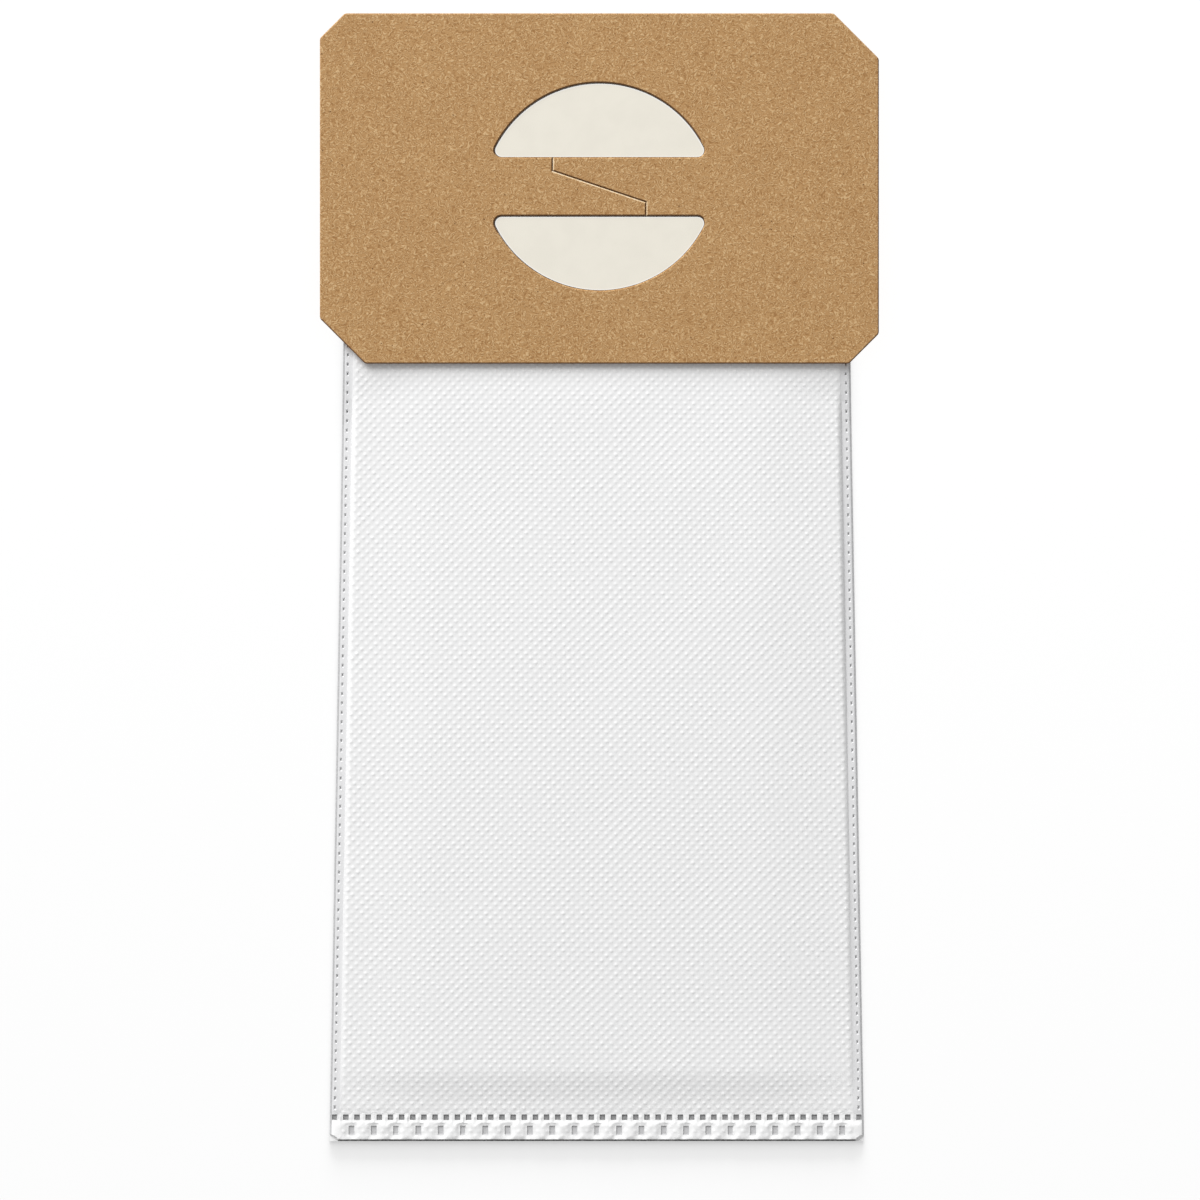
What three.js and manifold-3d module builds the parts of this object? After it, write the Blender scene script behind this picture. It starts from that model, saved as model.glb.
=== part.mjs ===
// Dust bag of a canister vacuum cleaner, empty, lying on its back.
// A stiff kraft board collar is glued on the front near the bag's top. Behind the
// collar's two half-moon windows lies a cream flexible seal. The bag is two panels of
// embossed nonwoven, welded together along both sides, the bottom and the top.
// Millimetres. +Z points out of the collar's face, +Y to its top, +X to its right.
// The origin is under the middle of the outline, on the surface that the bag lies on.

import * as THREE from 'three';
import { mergeGeometries, mergeVertices } from 'three/addons/utils/BufferGeometryUtils.js';
import Module from 'manifold-3d';

// Collar board
const COLLAR_WIDTH = 174.6;
const COLLAR_HEIGHT = 109.4;
const COLLAR_THICKNESS = 1.6;
const COLLAR_CORNER_RADIUS = 0.7;
const CHAMFER_TOP_LEFT = 7.8;
const CHAMFER_TOP_RIGHT = 14.1;
const CHAMFER_BOTTOM_LEFT = 14.1;
const CHAMFER_BOTTOM_RIGHT = 9.3;
const COLLAR_OVERHANG = 5; // from the bag's top edge to the collar's top edge

// Half-moon windows, one above and one below the bridge
const WINDOW_RADIUS = 36.6;
const WINDOW_HEIGHT = 23.4;
const WINDOW_TIP_RADIUS = 2.3;
const BRIDGE_HEIGHT = 18.2;
const WINDOW_RAISE = 0.6; // the middle of the bridge, above the collar's middle

// Z-shaped slit that parts the bridge into two tongues
const SLIT_WIDTH = 0.35;
const SLIT_SPREAD = 29.2; // between its two upright legs
const SLIT_LEG = 4.2;

// Flexible seal behind the windows
const SEAL_THICKNESS = 0.4;
const SEAL_MARGIN = 8; // glued width all round the windows
const SEAL_CORNER_RADIUS = 6;
const SEAL_SWELL = 1.2; // how far the sheet stands up inside the windows
const SEAL_SWELL_RUN = 0.5; // width of the slope round each swelling
const SEAL_CLEARANCE = 0.1; // from a window's edge to the foot of the slope
const SEAL_SLIT_LENGTH = 44;
const SEAL_SLIT_WIDTH = 0.3;
const INLET_CLEARANCE = 2.4; // from the windows' outline to the hole in the front panel

// Bag outline, wider at the bottom
const BAG_LENGTH = 347.6;
const BAG_TOP_WIDTH = 155;
const BAG_BOTTOM_WIDTH = 167.3;
const BAG_SIDESTEP = -0.8; // the bag's middle line, from the collar's
const NOTCH_WIDTH = 2.7; // round notch in each of the front panel's bottom corners
const NOTCH_HEIGHT = 2.1;

// Nonwoven panels
const PLY_THICKNESS = 1.6;
const WELD_THICKNESS = 0.6; // of one panel, pressed flat in the welded margins
const POUCH_GAP = 1.4; // between the panels of the empty bag
const CROWN = 0.7; // extra height in the middle, below the collar
const FALL = 1.1; // how much flatter the pouch lies at its bottom than under the collar
const SIDE_MARGIN = 3;
const END_MARGIN = 9;
const SHOULDER = 2.6; // run from a side or top margin up to the full thickness
const BOTTOM_SHOULDER = 14; // the same at the bottom, where the pouch flattens slowly
const LAND_MARGIN = 3; // flat nonwoven left in front of the collar's lower edge

// Welds: pins down the sides, a row of squares and a row of bars along both ends
const PIN_WIDTH = 0.7;
const PIN_LENGTH = 1;
const PIN_PITCH = 2.93;
const SQUARE_SIZE = 1.7;
const SQUARE_PITCH = 3.49;
const SQUARE_INSET = 7.4; // from the bag's end to the middle of the squares
const BAR_WIDTH = 1.8;
const BAR_LENGTH = 2.9;
const BAR_INSET = 3.4; // from the bag's end to the middle of the bars
const WELD_EDGE = 1; // least distance from a side edge to the middle of a weld
const FRONT_WELD_DEPTH = 0.35;
const BACK_WELD_DEPTH = 0.2;
const WELD_DRAFT = 0.8; // floor size over mouth size

// Fineness of the curved faces
const WINDOW_STEPS = 28;
const CORNER_STEPS = 4;
const NOTCH_STEPS = 16;
const INLET_STEPS = 48;
const SHOULDER_STEPS = 3;
const BOTTOM_STEPS = 5;
const CROWN_COLUMNS = 10;
const CROWN_ROWS = 12;
const OVERCUT = 0.5; // how far a cutting tool passes through a face

// Places that follow from the sizes
const topY = (BAG_LENGTH + COLLAR_OVERHANG) / 2;
const bagBottomY = -topY;
const bagTopY = topY - COLLAR_OVERHANG;
const collarY = topY - COLLAR_HEIGHT / 2;
const weldPlane = PLY_THICKNESS;
const landZ = weldPlane + POUCH_GAP + PLY_THICKNESS;
const windowsY = collarY + WINDOW_RAISE;
const windowTop = BRIDGE_HEIGHT / 2 + WINDOW_HEIGHT;

const wasm = await Module();
wasm.setup();

// A closed geometry as a solid that can be cut and joined.
function solid(geometry) {
  const bare = geometry.index ? geometry.clone() : mergeVertices(geometry);
  bare.deleteAttribute('normal');
  bare.deleteAttribute('uv');
  const merged = mergeVertices(bare, 1e-5);
  return new wasm.Manifold(new wasm.Mesh({
    numProp: 3,
    vertProperties: new Float32Array(merged.attributes.position.array),
    triVerts: new Uint32Array(merged.index.array),
  }));
}

// A solid back as a geometry with flat faces.
function geometryOf(body) {
  const mesh = body.getMesh();
  const geometry = new THREE.BufferGeometry();
  geometry.setAttribute('position', new THREE.BufferAttribute(mesh.vertProperties, 3));
  geometry.setIndex(new THREE.BufferAttribute(mesh.triVerts, 1));
  geometry.computeVertexNormals();
  return geometry;
}

function arc(x, y, radius, from, to, steps) {
  return Array.from({ length: steps + 1 }, (_, i) => {
    const angle = THREE.MathUtils.lerp(from, to, i / steps);
    return new THREE.Vector2(x + radius * Math.cos(angle), y + radius * Math.sin(angle));
  });
}

// The outline through the corners, each one rounded.
function roundedOutline(corners, radius) {
  return corners.flatMap((corner, i) => {
    const before = corners.at(i - 1).clone().sub(corner).setLength(radius).add(corner);
    const after = corners[(i + 1) % corners.length].clone().sub(corner).setLength(radius).add(corner);
    return new THREE.QuadraticBezierCurve(before, corner, after).getPoints(CORNER_STEPS);
  });
}

function extruded(outline, thickness, holes = []) {
  const shape = new THREE.Shape(outline);
  shape.holes = holes.map((hole) => new THREE.Path(hole));
  return new THREE.ExtrudeGeometry(shape, { depth: thickness, bevelEnabled: false });
}

// A circular segment standing on the bridge, with round tips, or a line inside its edge.
// Side is 1 above the bridge, -1 below it.
function windowOutline(side, inset = 0) {
  const chord = BRIDGE_HEIGHT / 2;
  const arcCentre = chord + WINDOW_HEIGHT - WINDOW_RADIUS;
  const tipRadius = WINDOW_TIP_RADIUS - inset;
  const tipY = chord + WINDOW_TIP_RADIUS;
  const tipX = Math.sqrt((WINDOW_RADIUS - WINDOW_TIP_RADIUS) ** 2 - (tipY - arcCentre) ** 2);
  const tipAngle = Math.atan2(tipY - arcCentre, tipX);
  const points = [
    ...arc(tipX, tipY, tipRadius, -Math.PI / 2, tipAngle, CORNER_STEPS),
    ...arc(0, arcCentre, WINDOW_RADIUS - inset, tipAngle, Math.PI - tipAngle, WINDOW_STEPS).slice(1, -1),
    ...arc(-tipX, tipY, tipRadius, Math.PI - tipAngle, Math.PI * 1.5, CORNER_STEPS),
  ];
  return side > 0 ? points : points.map((p) => new THREE.Vector2(-p.x, -p.y));
}

// Down from the upper window, slanting across the bridge, and down into the lower one.
function slitOutline() {
  const half = SLIT_WIDTH / 2;
  const legX = SLIT_SPREAD / 2;
  const endY = BRIDGE_HEIGHT / 2 + OVERCUT;
  const fall = (BRIDGE_HEIGHT - 2 * SLIT_LEG) / SLIT_SPREAD;
  const rise = half * Math.hypot(1, fall);
  const slant = (x) => -fall * x;
  const upperLeft = [
    new THREE.Vector2(-legX - half, slant(-legX - half) - rise),
    new THREE.Vector2(-legX - half, endY),
    new THREE.Vector2(-legX + half, endY),
    new THREE.Vector2(-legX + half, slant(-legX + half) + rise),
  ];
  return [...upperLeft, ...upperLeft.map((p) => p.clone().negate())];
}

// The board, placed from the middle of its windows.
function collarGeometry() {
  const x = COLLAR_WIDTH / 2;
  const top = COLLAR_HEIGHT / 2 - WINDOW_RAISE;
  const bottom = -COLLAR_HEIGHT / 2 - WINDOW_RAISE;
  const corners = [
    [x - CHAMFER_TOP_RIGHT, top], [-x + CHAMFER_TOP_LEFT, top],
    [-x, top - CHAMFER_TOP_LEFT], [-x, bottom + CHAMFER_BOTTOM_LEFT],
    [-x + CHAMFER_BOTTOM_LEFT, bottom], [x - CHAMFER_BOTTOM_RIGHT, bottom],
    [x, bottom + CHAMFER_BOTTOM_RIGHT], [x, top - CHAMFER_TOP_RIGHT],
  ].map(([cx, cy]) => new THREE.Vector2(cx, cy));
  const outline = roundedOutline(corners, COLLAR_CORNER_RADIUS);
  const board = extruded(outline, COLLAR_THICKNESS, [windowOutline(1), windowOutline(-1)]);
  const slit = extruded(slitOutline(), COLLAR_THICKNESS + 2 * OVERCUT);
  slit.translate(0, 0, -OVERCUT);
  return geometryOf(solid(board).subtract(solid(slit)));
}

// A window's swelling, as a frustum between two lines inside the window's edge.
function swelling(side, footInset, low, high) {
  const ring = (inset, z) => windowOutline(side, inset).map((p) => [p.x, p.y, z]);
  const topInset = footInset + SEAL_SWELL_RUN;
  return wasm.Manifold.hull([...ring(footInset, 0), ...ring(footInset, low), ...ring(topInset, high)]);
}

// A sheet that reaches past the windows all round, with the inlet slit behind the bridge.
// It swells into both windows, hollow behind, so it lies nearly level with the board's face.
function sealGeometry() {
  const half = windowTop + SEAL_MARGIN;
  const corners = [[half, half], [-half, half], [-half, -half], [half, -half]];
  const outline = roundedOutline(corners.map(([x, y]) => new THREE.Vector2(x, y)), SEAL_CORNER_RADIUS);
  const x = SEAL_SLIT_LENGTH / 2;
  const y = SEAL_SLIT_WIDTH / 2;
  const slit = [[-x, -y], [-x, y], [x, y], [x, -y]].map(([sx, sy]) => new THREE.Vector2(sx, sy));
  let sheet = solid(extruded(outline, SEAL_THICKNESS, [slit]));
  for (const side of [1, -1]) {
    const outside = swelling(side, SEAL_CLEARANCE, SEAL_THICKNESS, SEAL_THICKNESS + SEAL_SWELL);
    const inside = swelling(side, SEAL_CLEARANCE + SEAL_THICKNESS, -OVERCUT, SEAL_SWELL);
    sheet = sheet.add(outside).subtract(inside);
  }
  return geometryOf(sheet);
}

function bagHalfWidth(y) {
  const share = (y - bagBottomY) / BAG_LENGTH;
  return THREE.MathUtils.lerp(BAG_BOTTOM_WIDTH, BAG_TOP_WIDTH, share) / 2;
}

// 0 in the flat welded margins, 1 where the panel has its full thickness.
// The sides and top stand up steeply and round over, and the bottom slopes gently.
function rise(x, y) {
  const round = (run) => Math.sin(THREE.MathUtils.clamp(run / SHOULDER, 0, 1) * Math.PI / 2);
  const side = round(bagHalfWidth(y) - Math.abs(x) - SIDE_MARGIN);
  const top = round(bagTopY - y - END_MARGIN);
  return side * top * THREE.MathUtils.smoothstep(y - bagBottomY - END_MARGIN, 0, BOTTOM_SHOULDER);
}

// Extra height of the front panel below the collar: crowned in the middle, less at the bottom.
const landY = collarY - COLLAR_HEIGHT / 2 - LAND_MARGIN;
function slack(x, y) {
  const along = THREE.MathUtils.clamp((y - bagBottomY) / (landY - bagBottomY), 0, 1);
  const across = x / bagHalfWidth(y);
  const crown = CROWN * Math.sin(Math.PI * along) * (1 - across ** 2);
  return crown - FALL * (1 - THREE.MathUtils.smoothstep(along, 0, 1));
}

function evenly(from, to, steps) {
  return Array.from({ length: steps - 1 }, (_, i) => THREE.MathUtils.lerp(from, to, (i + 1) / steps));
}

// Distances from an edge across its flat margin and up its shoulder.
function insets(margin, shoulder, steps) {
  return [0, margin, ...evenly(margin, margin + shoulder, steps), margin + shoulder];
}

// A closed sheet between two height functions, over the bag's outline.
function panelSolid(topAt, bottomAt, columns, middleRows) {
  const rows = [
    ...insets(END_MARGIN, BOTTOM_SHOULDER, BOTTOM_STEPS).map((inset) => bagBottomY + inset),
    ...middleRows,
    ...insets(END_MARGIN, SHOULDER, SHOULDER_STEPS).map((inset) => bagTopY - inset).reverse(),
  ];
  const sides = insets(SIDE_MARGIN, SHOULDER, SHOULDER_STEPS);
  const grid = rows.map((y) => {
    const half = bagHalfWidth(y);
    const inner = half - SIDE_MARGIN - SHOULDER;
    const xs = [
      ...sides.map((inset) => inset - half),
      ...evenly(-inner, inner, columns),
      ...sides.map((inset) => half - inset).reverse(),
    ];
    return xs.map((x) => [x, y]);
  });
  const width = grid[0].length;
  const points = grid.flat();
  const layer = points.length;
  const positions = [
    ...points.flatMap(([x, y]) => [x, y, topAt(x, y)]),
    ...points.flatMap(([x, y]) => [x, y, bottomAt(x, y)]),
  ];
  const faces = [];
  const quad = (a, b, c, d) => faces.push(a, b, c, a, c, d);
  for (let row = 0; row + 1 < rows.length; row += 1) {
    for (let column = 0; column + 1 < width; column += 1) {
      const corner = row * width + column;
      quad(corner, corner + 1, corner + width + 1, corner + width);
      const under = corner + layer;
      quad(under, under + width, under + width + 1, under + 1);
    }
    const left = row * width;
    const right = left + width - 1;
    quad(left, left + width, left + width + layer, left + layer);
    quad(right + width, right, right + layer, right + width + layer);
  }
  for (let column = 0; column + 1 < width; column += 1) {
    const last = (rows.length - 1) * width + column;
    quad(column + 1, column, column + layer, column + 1 + layer);
    quad(last, last + 1, last + 1 + layer, last + layer);
  }
  const geometry = new THREE.BufferGeometry();
  geometry.setAttribute('position', new THREE.Float32BufferAttribute(positions, 3));
  geometry.setIndex(faces);
  return solid(geometry);
}

// A four-sided pit with its mouth at height 0, reaching a little above it.
function pit(width, length, depth, floorShare) {
  const height = depth + OVERCUT;
  const mouth = 1 + (1 - floorShare) * OVERCUT / depth;
  const pitGeometry = new THREE.CylinderGeometry(mouth, floorShare, height, 4);
  pitGeometry.rotateY(Math.PI / 4);
  pitGeometry.rotateX(Math.PI / 2);
  pitGeometry.scale(width * Math.SQRT1_2, length * Math.SQRT1_2, 1);
  pitGeometry.translate(0, 0, OVERCUT - height / 2);
  return pitGeometry;
}

// Every weld pit of one panel, pressed in from above.
function weldPits(depth) {
  const pits = [];
  const pinY = bagTopY - END_MARGIN - PIN_PITCH / 2;
  const pinSpan = BAG_LENGTH - 2 * END_MARGIN - PIN_PITCH;
  const pinCount = Math.floor(pinSpan / PIN_PITCH);
  for (let i = 0; i <= pinCount; i += 1) {
    const y = pinY - pinSpan * i / pinCount;
    for (const side of [-1, 1]) {
      const pin = pit(PIN_WIDTH, PIN_LENGTH, depth, 0);
      pits.push(pin.translate(side * (bagHalfWidth(y) - SIDE_MARGIN / 2), y, 0));
    }
  }
  for (const [endY, inward] of [[bagBottomY, 1], [bagTopY, -1]]) {
    const squareY = endY + inward * SQUARE_INSET;
    const barY = endY + inward * BAR_INSET;
    const reach = bagHalfWidth(squareY) - WELD_EDGE;
    const squares = Math.floor(2 * reach / SQUARE_PITCH) + 1;
    for (let i = 0; i < squares; i += 1) {
      const x = (i - (squares - 1) / 2) * SQUARE_PITCH;
      pits.push(pit(SQUARE_SIZE, SQUARE_SIZE, depth, WELD_DRAFT).translate(x, squareY, 0));
    }
    for (let i = 1; i + 2 < squares; i += 2) {
      const x = (i + 0.5 - (squares - 1) / 2) * SQUARE_PITCH;
      pits.push(pit(BAR_WIDTH, BAR_LENGTH, depth, WELD_DRAFT).translate(x, barY, 0));
    }
  }
  return mergeGeometries(pits);
}

function cornerNotches() {
  return mergeGeometries([-1, 1].map((hand) => {
    const notch = new THREE.CylinderGeometry(1, 1, WELD_THICKNESS + 2 * OVERCUT, NOTCH_STEPS);
    notch.rotateX(Math.PI / 2);
    notch.scale(NOTCH_WIDTH, NOTCH_HEIGHT, 1);
    return notch.translate(hand * bagHalfWidth(bagBottomY), bagBottomY, weldPlane + WELD_THICKNESS / 2);
  }));
}

function frontPanelGeometry() {
  const lift = POUCH_GAP + PLY_THICKNESS - WELD_THICKNESS;
  const topAt = (x, y) => weldPlane + WELD_THICKNESS + rise(x, y) * (lift + slack(x, y));
  const bottomAt = (x, y) => weldPlane + rise(x, y) * (POUCH_GAP + slack(x, y));
  const crownRows = evenly(bagBottomY + END_MARGIN + BOTTOM_SHOULDER, landY, CROWN_ROWS);
  const panel = panelSolid(topAt, bottomAt, CROWN_COLUMNS, [...crownRows, landY]);
  const pits = weldPits(FRONT_WELD_DEPTH).translate(0, 0, weldPlane + WELD_THICKNESS);
  const inletRadius = windowTop + INLET_CLEARANCE;
  const inlet = new THREE.CylinderGeometry(inletRadius, inletRadius, landZ + OVERCUT, INLET_STEPS);
  inlet.rotateX(Math.PI / 2);
  inlet.translate(-BAG_SIDESTEP, windowsY, (landZ + OVERCUT) / 2);
  return geometryOf(panel.subtract(solid(pits)).subtract(solid(cornerNotches())).subtract(solid(inlet)));
}

function backPanelGeometry() {
  const underside = (x, y) => (PLY_THICKNESS - WELD_THICKNESS) * (1 - rise(x, y));
  const panel = panelSolid(() => weldPlane, underside, 1, []);
  const pits = weldPits(BACK_WELD_DEPTH).rotateY(Math.PI);
  pits.translate(0, 0, PLY_THICKNESS - WELD_THICKNESS);
  return geometryOf(panel.subtract(solid(pits)));
}

const kraft = new THREE.MeshStandardMaterial({ color: 0xb9945f, roughness: 0.85, metalness: 0, flatShading: true });
const cream = new THREE.MeshStandardMaterial({ color: 0xebe5d8, roughness: 0.5, metalness: 0, flatShading: true });
const nonwoven = new THREE.MeshStandardMaterial({ color: 0xf0f0ee, roughness: 0.95, metalness: 0, flatShading: true });

function named(name, geometry, material) {
  const mesh = new THREE.Mesh(geometry, material);
  mesh.name = name;
  return mesh;
}

const bag = new THREE.Group();
bag.position.x = BAG_SIDESTEP;
bag.add(
  named('back_panel', backPanelGeometry(), nonwoven),
  named('front_panel', frontPanelGeometry(), nonwoven.clone()),
);

const seal = named('inlet_seal', sealGeometry(), cream);
const collar = named('collar', collarGeometry(), kraft);
collar.position.z = SEAL_THICKNESS;

const inletFitting = new THREE.Group();
inletFitting.position.set(0, windowsY, landZ);
inletFitting.add(seal, collar);

const dustBag = new THREE.Group();
dustBag.add(bag, inletFitting);

export default dustBag;
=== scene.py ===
"""Dust bag of a canister vacuum cleaner, empty and lying on its back.

The stiff kraft board collar, the cream seal behind its windows and the two welded panels of
embossed nonwoven are modelled here around the construction model, in the same frame.
Lengths in the mesh code are millimetres, and new_object turns them to metres.
"""

import math
from functools import partial

import bmesh
import bpy
import numpy as np
from bpy.props import FloatProperty, FloatVectorProperty, PointerProperty
from mathutils.geometry import tessellate_polygon
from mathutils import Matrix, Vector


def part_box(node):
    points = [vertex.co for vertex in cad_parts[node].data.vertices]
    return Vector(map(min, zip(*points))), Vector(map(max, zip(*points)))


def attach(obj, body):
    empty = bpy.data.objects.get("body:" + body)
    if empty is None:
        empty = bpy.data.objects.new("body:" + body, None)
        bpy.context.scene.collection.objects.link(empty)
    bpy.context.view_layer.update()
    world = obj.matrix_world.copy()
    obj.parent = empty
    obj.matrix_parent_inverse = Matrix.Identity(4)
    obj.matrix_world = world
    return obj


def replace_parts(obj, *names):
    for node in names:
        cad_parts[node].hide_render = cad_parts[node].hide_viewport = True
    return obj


bl_info = {
    "name": "Vacuum Dust Bag",
    "version": (1, 0, 0),
    "blender": (4, 5, 0),
    "location": "View3D > Sidebar > Dust Bag",
    "description": "Builds an empty nonwoven dust bag with a board collar on its construction model",
    "category": "Object",
}

MM = 0.001  # one millimetre in Blender's metres

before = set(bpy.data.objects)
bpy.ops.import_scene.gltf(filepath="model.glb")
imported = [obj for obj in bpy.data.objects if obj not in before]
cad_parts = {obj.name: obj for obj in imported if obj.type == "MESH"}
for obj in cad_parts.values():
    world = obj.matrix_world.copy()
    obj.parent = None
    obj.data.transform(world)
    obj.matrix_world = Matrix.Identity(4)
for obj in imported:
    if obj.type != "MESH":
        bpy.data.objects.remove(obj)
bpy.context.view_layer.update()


def box_mm(node):
    """The lowest and highest corners of a construction node, in millimetres."""
    low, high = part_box(node)
    return np.array(low) / MM, np.array(high) / MM


collar_low, collar_high = box_mm("collar")
seal_low, seal_high = box_mm("inlet_seal")
back_low, back_high = box_mm("back_panel")

# Places that every piece is built from
COLLAR_MID = (collar_low + collar_high) / 2
WINDOWS_MID = (seal_low + seal_high) / 2
BAG_MID_X = (back_low[0] + back_high[0]) / 2
BAG_BOTTOM = back_low[1]
BAG_TOP = back_high[1]
WELD_PLANE = back_high[2]
LAND = seal_low[2]
SHEET_TOP = collar_low[2]


def linear(hex_colour):
    """An sRGB hex colour as the linear values that shaders take."""
    channels = [int(hex_colour[i : i + 2], 16) / 255 for i in (1, 3, 5)]
    return [c / 12.92 if c <= 0.04045 else ((c + 0.055) / 1.055) ** 2.4 for c in channels]


def length(name, description, millimetres):
    """A length that shows in the sidebar in the scene's units."""
    return FloatProperty(
        name=name, description=description, default=millimetres * MM, unit="LENGTH", precision=5
    )


def colour(name, description, hex_colour):
    """A colour that shows in the sidebar as a swatch."""
    return FloatVectorProperty(
        name=name, description=description, default=linear(hex_colour), subtype="COLOR", min=0, max=1
    )


class CollarSizes(bpy.types.PropertyGroup):
    """Sizes of the die-cut board collar"""

    chamfer_top_left: length("Top left chamfer", "Along each edge", 7.8)
    chamfer_top_right: length("Top right chamfer", "Along each edge", 14.1)
    chamfer_bottom_left: length("Bottom left chamfer", "Along each edge", 14.1)
    chamfer_bottom_right: length("Bottom right chamfer", "Along each edge", 9.3)
    corner_radius: length("Corner radius", "Softening of the outline's corners", 0.7)
    window_radius: length("Window radius", "Radius of the half-moon windows' arcs", 36.6)
    window_height: length("Window height", "From a window's straight edge to the top of its arc", 23.4)
    window_tip_radius: length("Window tip radius", "Rounding of the windows' tips", 2.3)
    bridge_height: length("Bridge height", "Board left between the two windows", 18.2)
    slit_width: length("Slit width", "Width of the Z-shaped cut in the bridge", 0.15)
    slit_spread: length("Slit spread", "Between the cut's two upright legs", 29.2)
    slit_leg: length("Slit leg", "Length of each upright leg", 4.2)
    crushed_edge: length("Crushed edge", "Bevel that the die leaves on every cut edge", 0.36)


class SealSizes(bpy.types.PropertyGroup):
    """Sizes of the flexible seal behind the windows"""

    corner_radius: length("Corner radius", "Rounding of the sheet's corners", 6)
    swell: length("Swell", "How far the sheet stands up inside the windows", 1.2)
    swell_run: length("Swell run", "Distance over which it rises", 0.12)
    swell_gap: length("Swell gap", "Widest gap beside it, along the windows' upper left edges", 0.3)
    # Width of the seal's rim that gets a painted highlight
    highlight_rim: length("Blanched rim", "Width of the rim where the sheet is stretched", 0.4)
    slit_length: length("Slit length", "Inlet slit behind the bridge", 44)
    slit_width: length("Slit width", "Width of the inlet slit", 0.3)


class PanelSizes(bpy.types.PropertyGroup):
    """Sizes of the two nonwoven panels"""

    top_width: length("Top width", "Width of the bag at its top edge", 155)
    weld_thickness: length("Welded thickness", "Of one panel in the flat margins", 0.6)
    pouch_gap: length("Pouch gap", "Between the two panels of the empty bag", 1.4)
    crown: length("Crown", "Extra height in the middle, below the collar", 0.7)
    fall: length("Fall", "How much flatter the pouch lies at its bottom than under the collar", 1.1)
    side_margin: length("Side margin", "Flat welded margin along each side", 3)
    end_margin: length("End margin", "Welded strip along the bottom and the top", 9)
    shoulder: length("Shoulder", "Run from a side margin up to the full height", 1.4)
    bottom_shoulder: length("Bottom shoulder", "The same above the bottom weld", 14)
    corner_notch_width: length("Corner notch width", "Cut out of the front panel's bottom corners", 2.7)
    corner_notch_height: length("Corner notch height", "The same along the bag", 2.1)
    trim: length("Trimmed edge", "Width of the outline's edge that the hot cutter fuses", 0.6)
    inlet_radius: length("Inlet radius", "Hole in the front panel behind the collar", 34.9)
    emboss_pitch: length("Emboss pitch", "Between two bumps side by side", 2.9)
    emboss_height: length("Emboss height", "From the valleys to the tops of the bumps", 0.05)
    held_up: length("Held up", "How far the glue under the collar lifts the margins beside it", 1.9)
    droop: length("Droop", "How much lower the pouch lies along its sides, below the collar", 0.9)
    ripple: length("Ripple", "Height of the slack sheet's broad waves", 0.35)
    puff: length("Puff", "How far the bottom strip swells between its welds", 0.55)


class WeldSizes(bpy.types.PropertyGroup):
    """Sizes of the marks that the welding tools press into the panels"""

    pin_width: length("Pin width", "Side welds, across the margin", 0.75)
    pin_length: length("Pin length", "Side welds, along the margin", 1.3)
    pin_pitch: length("Pin pitch", "Between two side welds", 2.93)
    square_size: length("Square size", "Welds of the row nearer the pouch", 1.7)
    square_pitch: length("Square pitch", "Between two squares", 3.49)
    square_inset: length("Square inset", "From the bag's end to the middle of the squares", 7.5)
    bar_width: length("Bar width", "Welds of the row nearer the bag's end", 1.8)
    bar_length: length("Bar length", "The same, along the bag", 2.9)
    bar_inset: length("Bar inset", "From the bag's end to the middle of the bars", 3.4)
    edge: length("Edge", "Least distance from a side edge to the middle of a weld", 1)
    front_depth: length("Front depth", "Depth of the marks in the front panel", 0.4)
    back_depth: length("Back depth", "Depth of the marks in the back panel", 0.25)


class Finishes(bpy.types.PropertyGroup):
    """Colours of the bag and of the studio floor"""

    kraft: colour("Kraft", "Board's face", "#B98F5C")
    kraft_light: colour("Kraft, pale fibre", "Pale fibres in the board's face", "#DDBC8C")
    kraft_dark: colour("Kraft, dark fibre", "Dark fibres and flecks in the board's face", "#93642F")
    # Also painted shade on the collar's bevels that face away from the upper left
    kraft_cut_and_shade: colour("Kraft, cut edge", "Board's core along its cut edges", "#7E5630")
    # Painted highlight on the slit's bevels that face the upper left
    kraft_highlight: colour("Kraft, torn lip", "Pale fibres along one side of the slit", "#F3DFC0")
    seal: colour("Seal", "Cream elastomer sheet", "#EEE9DC")
    # Painted highlight on the seal's rims
    seal_highlight: colour("Seal, stretched", "Sheet where it is stretched over an edge", "#FFFFFF")
    nonwoven: colour("Nonwoven", "Lofty white nonwoven", "#FEFEFE")
    pressed: colour("Pressed nonwoven", "Flattened nonwoven in the welded margins", "#E8E8E9")
    # Also the grey of the nonwoven between its beads, partly painted shade in the valleys
    fused_pale_and_valley_shade: colour("Fused, pale", "Lightly fused floor of a bar weld", "#C8C8C9")
    # Fused film, and also painted shade on the pits' walls and under the trimmed bottom edge
    fused_dark_and_shade: colour("Fused, dark", "Fully fused floor of a square or pin weld", "#424242")
    floor: colour("Floor", "Light table under the bag", "#FFFFFF")


GROUPS = {
    "dust_bag_collar": CollarSizes,
    "dust_bag_seal": SealSizes,
    "dust_bag_panels": PanelSizes,
    "dust_bag_welds": WeldSizes,
    "dust_bag_finishes": Finishes,
}


class Millimetres:
    """Reads a property group's lengths in millimetres, as the mesh code uses them."""

    def __init__(self, group):
        self.group = group

    def __getattr__(self, name):
        return getattr(self.group, name) / MM


def chosen(scene, *names):
    """The named groups with their lengths in millimetres, and then the finishes."""
    groups = [Millimetres(getattr(scene, "dust_bag_" + name)) for name in names]
    return [*groups, scene.dust_bag_finishes]


# Mesh code


def smoothstep(x, low, high):
    t = np.clip((x - low) / (high - low), 0, 1)
    return t * t * (3 - 2 * t)


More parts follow.
